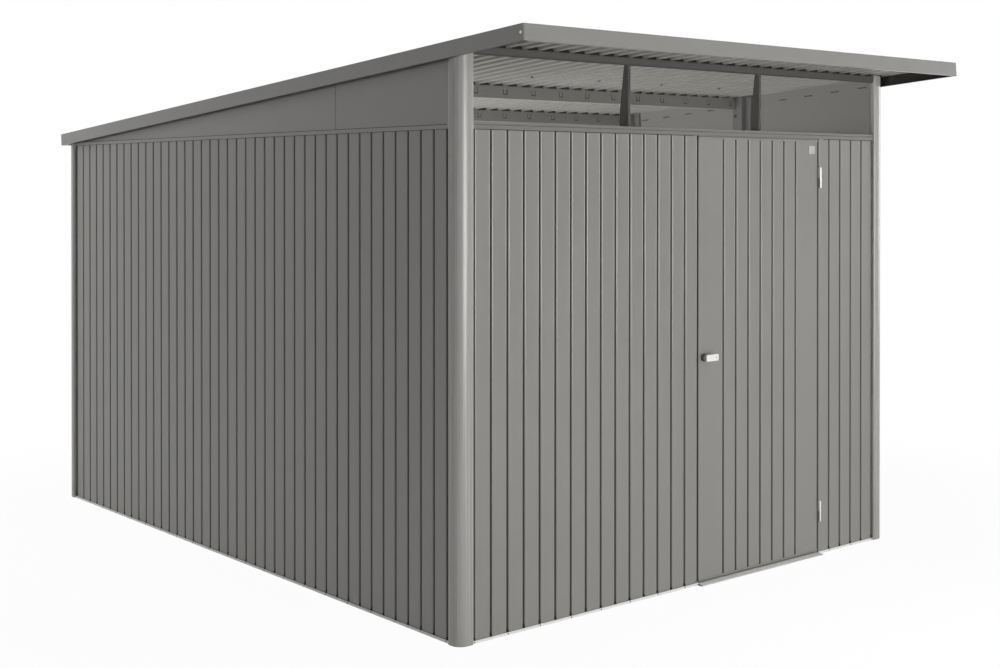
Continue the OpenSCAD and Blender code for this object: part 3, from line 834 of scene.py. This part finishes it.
@dataclass
class Walls(Assembly):
    """Grooved sheets, their rails and the corner posts."""

    half_run: float = 1.200
    post_w: float = 0.070
    front_count: int = 30
    side_count: int = 40
    door_grooves: tuple[int, int] = (15, 25)
    groove_halves: Place = (0.0066, 0.0058, 0.0024)
    groove_depths: Place = (0.0004, 0.0010, 0.0088)
    plug_z: Span = (0.0020, 0.0215)
    plug_round: float = 0.005
    rail_proud: float = 0.004
    rail_z: Span = (1.876, 1.891)
    lip_h: float = 0.010
    drain_d: float = 0.0058
    drain_t: float = 0.0010
    drain_rim: float = 0.0008
    drain_dip: float = 0.0004
    drain_in: float = 0.0007
    seal_play: float = 0.0001
    seal_round_share: float = 0.3
    jamb_plays: Span = (0.02, 0.04)
    # Dark strips that stand in for the shade in the rails' joints: how far they stand out from the wall, and how
    # far they reach from the rail.
    front_shadow_strip: Span = (0.0024, 0.0024)
    side_shadow_strip: Span = (0.0022, 0.0014)
    gable_seal: Span = (0.0016, 0.0020)

    def on(self, side: Side, along: float) -> Matrix:
        """Place on a wall.

        Args:
            side: Wall.
            along: Distance from the wall's end groove.

        Returns:
            The place: x along the wall, y into the shed, z up.
        """
        if side in (Side.FRONT, Side.BACK):
            back = side is Side.BACK
            return (Matrix.Translation((along - self.half_run, self.front_y + back * DEPTH, 0.0))
                    @ Matrix.Rotation(back * math.pi, 4, "Z"))
        sign = 1.0 if side is Side.RIGHT else -1.0
        return (Matrix.Translation((sign * HALF_W, self.front_y + self.post_w + along, 0.0))
                @ Matrix.Rotation(sign * QUARTER_TURN, 4, "Z"))

    def feet(self, step: int = 1) -> list[Matrix]:
        """Feet of the grooves on all walls, clear of the door.

        Args:
            step: Takes every groove, or every second one.

        Returns:
            A place for each groove.
        """
        first, last = self.door_grooves
        places = []
        for side in Side:
            count = self.front_count if side in (Side.FRONT, Side.BACK) else self.side_count
            for i in range(0, count + 1, step):
                if side is not Side.FRONT or not first <= i <= last:
                    places.append(self.on(side, i * PITCH))
        return places

    def groove_plugs(self) -> None:
        """Fit black foam plugs in the feet of the grooves, as painted shade where the groove feet are in shadow.
        """
        wide, middle, narrow = self.groove_halves
        front, step, back = self.groove_depths
        low, high = self.plug_z
        mid_z = (low + high) / 2
        plug = Work(Stock.BLOCK, "groove_plug", (2 * wide, step - front, high - low),
                    (0.0, (front + step) / 2, mid_z))
        plug.edges(lambda a, b: min(a.z, b.z) > mid_z and abs(a.y - b.y) > (step - front) / 2)
        plug.rounded(self.plug_round, 1).faces(facing(y=1)).narrowed(middle / wide)
        plug.raised((0.0, back - step, 0.0)).narrowed(narrow / middle)
        self.fit(row(plug.done(), "groove_plugs", self.feet()), self.finishes.foam)

    def drain_plugs(self) -> None:
        """Fit dark grommets in the drain holes of the ground rails."""
        grommet = Work(Stock.ROD, "drain_plug", (self.drain_d, 0.0, self.drain_t), (0.0, 0.0, 0.0))
        grommet.faces(facing(z=1)).inset(self.drain_rim).raised((0.0, 0.0, -self.drain_dip))
        hole = (Matrix.Translation((0.0, self.drain_in - self.rail_proud, self.lip_h / 2))
                @ Matrix.Rotation(QUARTER_TURN, 4, "X"))
        self.fit(row(grommet.done(hole), "drain_plugs", self.feet(2)), self.finishes.plastic)

    def seal(self, name: str, side: Side, ends: Span, deep: float, heights: Span) -> None:
        """Fit a long dark strip in the joint of a rail, as painted shade.

        Args:
            name: Name of the piece.
            side: Wall that it lies on.
            ends: Distances of its ends from the wall's end groove.
            deep: How far it stands out in front of the wall.
            heights: Its lower and upper edge.
        """
        size = (ends[1] - ends[0], deep, heights[1] - heights[0])
        strip = bar(name, size, (0.0, -deep / 2, sum(heights) / 2), min(size) * self.seal_round_share, 2)
        self.fit(strip.done(self.on(side, sum(ends) / 2)), self.finishes.rubber)

    def build(self) -> None:
        """Make the dark plugs in the feet of the grooves and the dark strips in the joints of the rails, both
        standing in for shade, and the drain grommets.
        """
        self.groove_plugs()
        self.drain_plugs()
        run, side_run = self.front_count * PITCH, self.side_count * PITCH
        left, right = (groove * PITCH for groove in self.door_grooves)
        # Painted shade: these dark strips stand for the shade lines under the rails' lips and over the side
        # rails.
        low, top = self.rail_z
        deep, tall = self.front_shadow_strip
        under = (low - tall, low - self.seal_play)
        self.seal("rail_seal_front_left", Side.FRONT, (0.0, left - self.jamb_plays[0]), deep, under)
        self.seal("rail_seal_front_right", Side.FRONT, (right + self.jamb_plays[1], run), deep, under)
        deep, tall = self.side_shadow_strip
        under = (low - tall, low - self.seal_play)
        for side, long in ((Side.LEFT, side_run), (Side.RIGHT, side_run), (Side.BACK, run)):
            self.seal(f"rail_seal_{side.value}", side, (0.0, long), deep, under)
        deep, tall = self.gable_seal
        for side in (Side.LEFT, Side.RIGHT):
            self.seal(f"gable_seal_{side.value}", side, (0.0, side_run), deep, (top + self.seal_play, top + tall))

    def dress(self) -> None:
        """Coat the sheets, rails and posts."""
        coats = self.finishes
        self.coat(coats.wall, "wall_front_left", "wall_front_right", "wall_left", "wall_right", "wall_back")
        self.coat(coats.paint, "rail_left", "rail_right", "rail_back",
                  "eaves_panel_back", "gable_left", "gable_right")
        self.coat(coats.post, "post_front_left", "post_front_right", "post_back_left", "post_back_right")
        self.coat(coats.rail, "base_rail_front", "base_rail_back", "base_rail_left", "base_rail_right")


@dataclass
class Roof(Assembly):
    """Ribbed sheets, edge boards, purlins, gutter, and the screws and foam that go with them."""

    rib_count: int = 32
    rib_halves: Span = (0.0256, 0.0208)
    rib_h: float = 0.009
    sheet_t: float = 0.0012
    seam_x: float = 0.44
    seam_play: float = 0.01
    purlins: tuple[int, ...] = (1, 2, 3)
    purlin_back: float = 0.065
    overhang: float = 0.39
    screw: Stud = Stud("roof_screw", 0.018, 0.0018, (0.0032, 0.0006), 0.0044, (0.0009, 0.0006))
    screw_back: float = 0.022
    screw_edge: float = 0.018
    nut: Stud = Stud("cap_nut", 0.013, 0.0014, (0.0018, 0.0), 0.0045, (0.0016, 0.0012), up=-1.0)
    nut_xs: tuple[float, ...] = (-0.8, -0.4, 0.0, 0.4, 0.8)
    nut_back: float = 0.592
    header_seat: float = -0.0042
    plug_len: float = 0.030
    plug_side_play: float = 0.001
    plug_top_play: float = 0.0005
    plug_sink: float = 0.0001
    plug_seat: float = -0.0003
    plug_face: Span = (0.0012, 0.0006)
    lip_t: float = 0.0030
    lip_h: float = 0.0045
    lip_half: float = 0.0280
    tape_size: Place = (2.4554, 0.004, 0.046)
    tape_at: Place = (0.0, 0.0045, -0.030)
    tape_round: float = 0.0015
    slot_x: float = 1.2694
    slot_start: float = 0.082
    slot_step: float = 0.160
    slot_count: int = 20
    slot_w: float = 0.050
    slot_z: float = -0.041
    mesh_size: Place = (0.0008, 0.0496, 0.0056)
    mesh_round: float = 0.0012
    mesh_frame: Span = (0.0008, -0.0002)
    board_z: float = -0.0168
    board_in: float = 0.016
    head_size: Place = (0.0095, 0.0095, 0.0014)
    head_z: float = -0.0003
    head_round: float = 0.0004
    socket_rim: float = 0.0018
    socket_deep: float = 0.0009

    def __post_init__(self) -> None:
        """Work out the roof's own frame."""
        self.fall = math.atan(RISE / DEPTH)
        self.slope = math.cos(self.fall)
        self.plane = (Matrix.Translation((0.0, self.front_y, RIDGE_Z))
                      @ Matrix.Rotation(-self.fall, 4, "X"))
        self.webs = [(i * PURLIN_STEP + self.purlin_back) / self.slope for i in self.purlins]
        half = self.rib_count // 2
        self.ribs = [(k + 0.5) * PITCH for k in range(-half, half)]

    def at(self, x: float, s: float, z: float) -> Matrix:
        """Place across the roof, down the slope from the front wall and off the sheet's underside."""
        return self.plane @ Matrix.Translation((x, s, z))

    def screws(self) -> None:
        """Fit screws on every second rib over the purlins and the ends, and a few nuts below."""
        tops = []
        ends = [self.screw_edge, DEPTH / self.slope - self.screw_edge]
        for s in [web + self.screw_back for web in self.webs] + ends:
            for x in self.ribs[self.rib_count // 2 + 1::2]:
                sheets = 2 if abs(x - self.seam_x) < self.seam_play else 1
                lift = self.rib_h + sheets * self.sheet_t
                tops += [self.at(x, s, lift), self.at(-x, s, lift)]
        self.fit(row(self.screw.model(), "roof_screws", tops), self.finishes.zinc, slot=Slot.STEEL)
        under = [self.at(x, self.nut_back / self.slope, 0.0) for x in self.nut_xs]
        self.fit(row(self.nut.model(), "sheet_nuts", under), self.finishes.plastic)

    def rib_plugs(self) -> None:
        """Fit foam plugs in the ribs over the header and purlins, with a lip in front of their seats; the plugs
        over the purlins are painted shade for the ribs' dark channels.
        """
        half, top = (width - self.plug_side_play for width in self.rib_halves)
        plug = Work(Stock.BLOCK, "rib_plug", (2 * half, self.plug_len, self.rib_h - self.plug_top_play),
                    (0.0, self.plug_len / 2 - self.lip_t, self.rib_h / 2 - self.plug_sink))
        plug.faces(facing(z=1)).narrowed(top / half)
        plug.split((0.0, self.plug_seat, 0.0), (0.0, 1.0, 0.0))
        plug.faces(lambda f: facing(z=-1)(f) and f.calc_center_median().y < self.plug_seat)
        plug.raised((0.0, 0.0, -self.lip_h)).narrowed(self.lip_half / half)
        plug.faces(facing(y=-1)).inset(*self.plug_face)
        # Over the header the plugs are eave closures; over the purlins they stand in for the shade in the ribs'
        # channels.
        seats = [self.at(x, s, 0.0) for s in [self.header_seat, *self.webs] for x in self.ribs]
        self.fit(row(plug.done(), "rib_plugs", seats), self.finishes.foam)

    def tapes(self) -> None:
        """Fit foam tapes behind the webs of the purlins."""
        for i, web in zip(self.purlins, self.webs):
            tape = bar(f"purlin_tape_{i}", self.tape_size, self.tape_at, self.tape_round, 2, 1.0)
            self.fit(tape.done(self.at(0.0, web, 0.0)), self.finishes.foam)

    def vent_mesh(self) -> None:
        """Fit dark insect mesh in the vent slots of the gables."""
        cover = Work(Stock.BLOCK, "vent_mesh", self.mesh_size, (0.0, 0.0, 0.0))
        cover.edges(lambda a, b: abs(a.x - b.x) > self.mesh_size[0] / 2).rounded(self.mesh_round, 3)
        cover.faces(lambda f: abs(f.normal.x) > FLAT_SHARE).inset(*self.mesh_frame)
        runs = [(self.slot_start + k * self.slot_step) / self.slope + self.slot_w / 2
                for k in range(self.slot_count)]
        slots = [self.at(side * self.slot_x, s, self.slot_z) for s in runs for side in (-1, 1)]
        self.fit(row(cover.done(), "vent_mesh", slots), self.finishes.mesh)

    def board_screws(self) -> None:
        """Fit a low round-headed screw near the front end of each side board."""
        head = Work(Stock.ROD, "board_screw", self.head_size, (0.0, 0.0, self.head_z))
        head.edges(lambda a, b: min(a.z, b.z) > 0.0).rounded(self.head_round, 3)
        head.faces(facing(z=1)).inset(self.socket_rim).raised((0.0, 0.0, -self.socket_deep))
        ends = [self.at(side * ROOF_HALF_W, self.board_in - self.overhang, self.board_z)
                @ Matrix.Rotation(side * QUARTER_TURN, 4, "Y") for side in (-1, 1)]
        self.fit(row(head.done(), "board_screws", ends), self.finishes.steel, slot=Slot.STEEL)

    def build(self) -> None:
        """Make the screws, nuts, foam plugs, tapes and mesh."""
        self.screws()
        self.rib_plugs()
        self.tapes()
        self.vent_mesh()
        self.board_screws()

    def dress(self) -> None:
        """Coat the sheets, boards, purlins and gutter."""
        coats = self.finishes
        self.coat(coats.roof, "roof_sheet_left", "roof_sheet_middle", "roof_sheet_right")
        self.coat(coats.fascia, "fascia_front")
        self.coat(coats.paint, "gutter_rear")
        self.coat(coats.board, "fascia_left", "fascia_right")
        self.coat(coats.inner, "purlin_front", "purlin_middle", "purlin_rear")
        self.coat(coats.upright, "purlin_posts")


@dataclass
class WindowStrip(Assembly):
    """Clear strip, its bars, brackets and seal."""

    head_z: float = 2.152
    glass_in: float = 0.0036
    seal_size: Place = (2.4114, 0.0042, 0.006)
    seal_round: float = 0.00168
    seal_face: Span = (0.0006, -0.0003)

    def build(self) -> None:
        """Make the rubber seal in front of the clear sheet, under the header."""
        _, deep, tall = self.seal_size
        at = (0.0, self.front_y + self.glass_in - deep / 2, self.head_z - tall / 2)
        strip = bar("glazing_seal_top", self.seal_size, at, self.seal_round, 3)
        self.fit(strip.faces(facing(y=-1)).inset(*self.seal_face).done(), self.finishes.dark)

    def dress(self) -> None:
        """Coat the bars and brackets and make the strip clear."""
        self.coat(self.finishes.bar, "window_sill", "rail_front")
        self.coat(self.finishes.header, "window_header")
        self.coat(self.finishes.dark, "window_brackets")
        self.coat(self.finishes.clear, "window_glass")


@dataclass
class Door(Assembly):
    """Door leaf with its hinges, handle and plate, and the threshold's ends, seals and lip round it."""

    width: float = 0.8
    top_z: float = 1.871
    foot_z: float = 0.014
    stop_deep: float = 0.0345
    stop_reach: float = 0.018
    plate_at: Span = (0.753, 1.826)
    plate_size: Place = (0.044, 0.0016, 0.036)
    plate_round: float = 0.003
    plate_rim: float = 0.0018
    plate_dip: Span = (0.0005, -0.0005)
    handle_at: Span = (0.036, 0.947)
    grip_len: float = 0.060
    grip_front: float = 0.030
    lock_in: float = 0.013
    lock_d: float = 0.0088
    lock_t: float = 0.0014
    lock_deep: float = 0.0015
    lock_sides: int = 24
    lock_rim: Span = (0.0008, -0.0002)
    key_half: float = 0.0007
    key_reach: float = 0.0022
    key_deep: float = 0.0009
    ramp_ys: Span = (0.028, 0.0042)
    ramp_heights: Span = (0.0030, 0.0062)
    ramp_t: float = 0.0030
    ramp_round: float = 0.0006
    seal_w: float = 0.009
    seal_deep: float = 0.0036
    seal_in: float = 0.006
    seal_foot: float = 0.006
    seal_short: float = 0.040
    seal_play: float = 0.002
    head_seal_z: float = 1.864
    lip_heights: Span = (0.0008, 0.0050)
    lip_deep: float = 0.0030
    lip_in: float = 0.0005
    lip_play: float = 0.006
    round_share: float = 0.45

    def plate(self) -> None:
        """Fit the bare plate near the top of the door."""
        x, z = self.plate_at
        thick = self.plate_size[1]
        plate = Work(Stock.BLOCK, "door_plate", self.plate_size, (x, self.front_y - thick / 2, z))
        plate.edges(lambda a, b: abs(a.y - b.y) > thick / 2).rounded(self.plate_round, 4)
        plate.faces(facing(y=-1)).inset(self.plate_rim).inset(*self.plate_dip)
        self.fit(plate.done(), self.finishes.plate, Body.DOOR, Slot.ALUMINIUM)

    def lock(self) -> None:
        """Fit the lock core with its key slot in the tip of the grip."""
        x, z = self.handle_at
        core = Work(Stock.ROD, "lock_core", (self.lock_d, 0.0, self.lock_t),
                    (0.0, 0.0, self.lock_deep / 2), self.lock_sides)
        core.faces(facing(z=1)).inset(*self.lock_rim)
        for side in (-1.0, 1.0):
            core.split((side * self.key_half, 0.0, 0.0), (1.0, 0.0, 0.0))
        core.faces(lambda f: facing(z=1)(f) and abs(f.calc_center_median().x) < self.key_half
                   and f.calc_center_median().length < self.key_reach)
        core.raised((0.0, 0.0, -self.key_deep))
        tip = (x + self.grip_len - self.lock_in, self.front_y - self.grip_front + self.lock_deep, z)
        turned = Matrix.Translation(tip) @ Matrix.Rotation(QUARTER_TURN, 4, "X")
        self.fit(core.done(turned), self.finishes.zinc, Body.HANDLE, Slot.STEEL)

    def ramp_ends(self) -> None:
        """Fit the black end pieces of the threshold, sloped like the ramp."""
        out, back = self.ramp_ys
        low, tall = self.ramp_heights
        middle = self.front_y - (out + back) / 2
        for name, x in (("ramp_end_left", -self.ramp_t / 2), ("ramp_end_right", self.width + self.ramp_t / 2)):
            end = Work(Stock.BLOCK, name, (self.ramp_t, out - back, tall), (x, middle, tall / 2))
            end.edges(lambda a, b: min(a.z, b.z) > tall / 2 and max(a.y, b.y) < middle)
            bpy.ops.transform.translate(value=(0.0, 0.0, low - tall))
            end.edges(lambda a, b: min(a.z, b.z) > low / 2).rounded(self.ramp_round)
            self.fit(end.done(), self.finishes.plastic)

    def strips(self) -> None:
        """Fit the soft strips on the door stop, and the lip over the door."""
        middle = self.width / 2
        y = self.front_y + self.stop_deep - self.seal_deep / 2
        tall = self.top_z - self.seal_short - self.foot_z
        mid_z = self.foot_z + self.seal_foot + tall / 2
        inner = self.stop_reach - self.seal_in
        upright = (self.seal_w, self.seal_deep, tall)
        head = (self.width - 2 * (self.stop_reach + self.seal_play), self.seal_deep, self.seal_w)
        low, high = self.lip_heights
        lip = (self.width - 2 * self.lip_play, self.lip_deep, high - low)
        lip_at = (middle, self.front_y + self.lip_in, self.top_z + (low + high) / 2)
        rubber, bare = self.finishes.rubber, self.finishes.bar
        for name, size, at, finish, slot in (
                ("door_seal_left", upright, (inner, y, mid_z), rubber, Slot.PLASTIC),
                ("door_seal_right", upright, (self.width - inner, y, mid_z), rubber, Slot.PLASTIC),
                ("door_seal_head", head, (middle, y, self.head_seal_z), rubber, Slot.PLASTIC),
                ("door_lip", lip, lip_at, bare, Slot.GREY)):
            self.fit(bar(name, size, at, size[1] * self.round_share, 4).done(), finish, slot=slot)

    def build(self) -> None:
        """Make the plate, the lock core, the threshold's ends, the seals and the lip over the door."""
        self.plate()
        self.lock()
        self.ramp_ends()
        self.strips()

    def dress(self) -> None:
        """Coat the leaf, frame, hinges, handle and threshold."""
        self.coat(self.finishes.wall, "door_leaf")
        self.coat(self.finishes.inner, "door_rails", "door_jamb_left", "door_jamb_right", "door_head")
        self.coat(self.finishes.hinge, "door_hinges", "hinge_pins")
        self.coat(self.finishes.steel, "door_handle")
        self.coat(self.finishes.rosette, "handle_rosette")
        self.coat(self.finishes.sill, "door_threshold")


@dataclass
class Inside(Assembly):
    """Bolts that hold the purlin ends."""

    post_face_x: float = 1.2300
    bolt: Stud = Stud("purlin_bolt", 0.016, 0.0018, (0.0028, 0.0), 0.005, (0.0011, 0.0007), 18)
    bolt_back: float = 0.060
    bolt_zs: Place = (2.021, 1.959, 1.899)

    def build(self) -> None:
        """Make the bolts."""
        places = []
        for i, z in enumerate(self.bolt_zs, 1):
            y = self.front_y + i * PURLIN_STEP + self.bolt_back
            for side in (-1, 1):
                places.append(Matrix.Translation((side * self.post_face_x, y, z))
                              @ Matrix.Rotation(-side * QUARTER_TURN, 4, "Y"))
        self.fit(row(self.bolt.model(), "purlin_bolts", places), self.finishes.dark, slot=Slot.DARK)

    def dress(self) -> None:
        """The purlins are coated with the roof."""


@dataclass(frozen=True)
class Lamp:
    """Soft rectangular lamp with its power in watts, which glossy surfaces may show."""

    name: str
    at: Place
    aim: Place
    size: Span
    power: float
    mirrored: bool = True
    spread_deg: float = 180.0

    def hang(self) -> None:
        """Add the lamp to the scene."""
        data = bpy.data.lights.new(self.name, "AREA")
        data.shape = "RECTANGLE"
        data.size, data.size_y = self.size
        data.energy = self.power
        data.spread = math.radians(self.spread_deg)
        lamp = bpy.data.objects.new(self.name, data)
        lamp.location = self.at
        lamp.rotation_euler = (Vector(self.aim) - Vector(self.at)).to_track_quat("-Z", "Y").to_euler()
        lamp.visible_camera = False
        lamp.visible_glossy = self.mirrored
        bpy.context.scene.collection.objects.link(lamp)


@dataclass
class Studio:
    """Floor, lamps, white surround and camera."""

    camera_at: Place = (-4.54846, -5.64023, 1.68267)
    yaw: float = 0.6987
    pitch: float = -0.0056
    lens_px: float = 1462.2
    image_w: float = 1000.0
    image_h: float = 668.0
    centre_px: Span = (500.4, 190.0)
    sensor_w: float = 36.0
    ambient: float = 0.03
    ambient_tone: Tone = (1.0, 0.99, 0.975)
    floor_size: float = 60.0
    floor_z: float = -0.0005
    floor_cuts: int = 6
    floor_greys: Span = (0.80, 0.84)
    floor_spots: float = 3.0
    glow_share: float = 0.96
    fade: Span = (2.2, 4.0)
    lamps: tuple[Lamp, ...] = (
        Lamp("front_lamp", (0.4, -10.5, 1.25), (0.4, -1.5, 1.25), (5.8, 2.3), 316.0),
        Lamp("high_lamp", (0.3, -10.5, 5.0), (0.2, -1.5, 1.2), (5.0, 2.5), 84.0, False),
        Lamp("right_lamp", (12.0, -4.5, 2.0), (0.6, -1.5, 1.2), (2.5, 3.5), 190.0),
        Lamp("back_lamp", (-3.3, 4.8, 4.4), (-1.27, 1.4, 1.0), (2.5, 2.5), 178.0, False),
        Lamp("floor_lamp", (0.0, -4.6, 5.0), (0.0, -4.6, 0.0), (5.0, 2.5), 120.0, False, 70.0),
        Lamp("top_lamp", (0.0, 0.0, 9.0), (0.0, 0.0, 0.0), (2.0, 3.0), 170.0),
        Lamp("inside_lamp", (0.0, 0.15, 0.03), (0.0, 0.15, 2.0), (2.3, 3.1), 26.0, False),
        Lamp("inside_left_lamp", (-1.1, 0.2, 1.0), (1.2, 0.2, 1.8), (2.4, 0.2), 44.0, False))

    def camera(self) -> None:
        """Stand the camera where the picture was taken from."""
        data = bpy.data.cameras.new("camera")
        data.sensor_fit = "HORIZONTAL"
        data.sensor_width = self.sensor_w
        data.lens = self.lens_px * self.sensor_w / self.image_w
        data.shift_x = (self.image_w / 2 - self.centre_px[0]) / self.image_w
        data.shift_y = (self.centre_px[1] - self.image_h / 2) / self.image_w
        camera = bpy.data.objects.new("camera", data)
        camera.location = self.camera_at
        camera.rotation_euler = (math.pi / 2 + self.pitch, 0.0, -self.yaw)
        bpy.context.scene.collection.objects.link(camera)
        bpy.context.scene.camera = camera

    def seen(self, graph: Graph) -> Signal:
        """Tell the rays that show the surround: seen directly, mirrored or through the clear strip.

        Args:
            graph: Graph of the floor or of the world.

        Returns:
            1 for these rays and 0 for the others.
        """
        def kind(name: str) -> Signal:
            """One kind of ray."""
            return graph.node("ShaderNodeLightPath", output=name)

        return kind("Is Camera Ray").larger(kind("Is Glossy Ray")).larger(kind("Is Transmission Ray"))

    def surround(self) -> None:
        """White surround where it is seen, and a lower even light."""
        world = bpy.data.worlds.new("surround")
        world.use_nodes = True
        world.cycles.sampling_method = "NONE"
        bpy.context.scene.world = world
        graph = Graph(world.node_tree)
        white = graph.node("ShaderNodeBackground", sockets={"Color": (1.0, 1.0, 1.0, 1.0), "Strength": 1.0})
        even = graph.node("ShaderNodeBackground", sockets={
            "Color": (*self.ambient_tone, 1.0), "Strength": self.ambient})
        both = graph.node("ShaderNodeMixShader", sockets={0: self.seen(graph), 1: even, 2: white})
        graph.node("ShaderNodeOutputWorld", sockets={"Surface": both})

    def floor(self) -> None:
        """Pale floor that keeps a soft shadow and fades into the white surround."""
        deselect()
        bpy.ops.mesh.primitive_plane_add(size=self.floor_size, location=(0.0, 0.0, self.floor_z))
        floor = bpy.context.object
        floor.name = "floor"
        bpy.ops.object.mode_set(mode="EDIT")
        bpy.ops.mesh.subdivide(number_cuts=self.floor_cuts)
        bpy.ops.object.mode_set(mode="OBJECT")
        material, graph = Graph.of_material("floor")
        away = (graph.axis("X") ** 2.0 + graph.axis("Y") ** 2.0) ** 0.5
        dark, light = ((grey, grey, grey) for grey in self.floor_greys)
        matt = graph.node("ShaderNodeBsdfDiffuse", sockets={
            "Color": graph.mix(graph.noise(self.floor_spots, 3.0), dark, light)})
        glow = graph.node("ShaderNodeEmission", sockets={"Color": (1.0, 1.0, 1.0, 1.0), "Strength": 1.0})
        share = self.seen(graph) * (self.glow_share + away.ramp(*self.fade) * (1.0 - self.glow_share))
        graph.surface(graph.node("ShaderNodeMixShader", sockets={0: share, 1: matt, 2: glow}))
        floor.data.materials.append(material)

    def set_up(self) -> None:
        """Build the whole studio."""
        settings = bpy.context.scene.view_settings
        settings.view_transform = "Standard"
        self.camera()
        self.surround()
        self.floor()
        for lamp in self.lamps:
            lamp.hang()


def main() -> None:
    """Build and dress each part of the shed, then the studio."""
    logging.basicConfig(level=logging.INFO, format="%(name)s: %(message)s")
    finishes = Finishes()
    parts: list[Assembly] = [kind(finishes) for kind in (Walls, Roof, WindowStrip, Door, Inside)]
    for part in parts:
        part.build()
        part.dress()
        LOG.info("%s: %s", type(part).__name__, ", ".join(part.pieces) or "solids only")
    Studio().set_up()


if __name__ == "__main__":
    main()
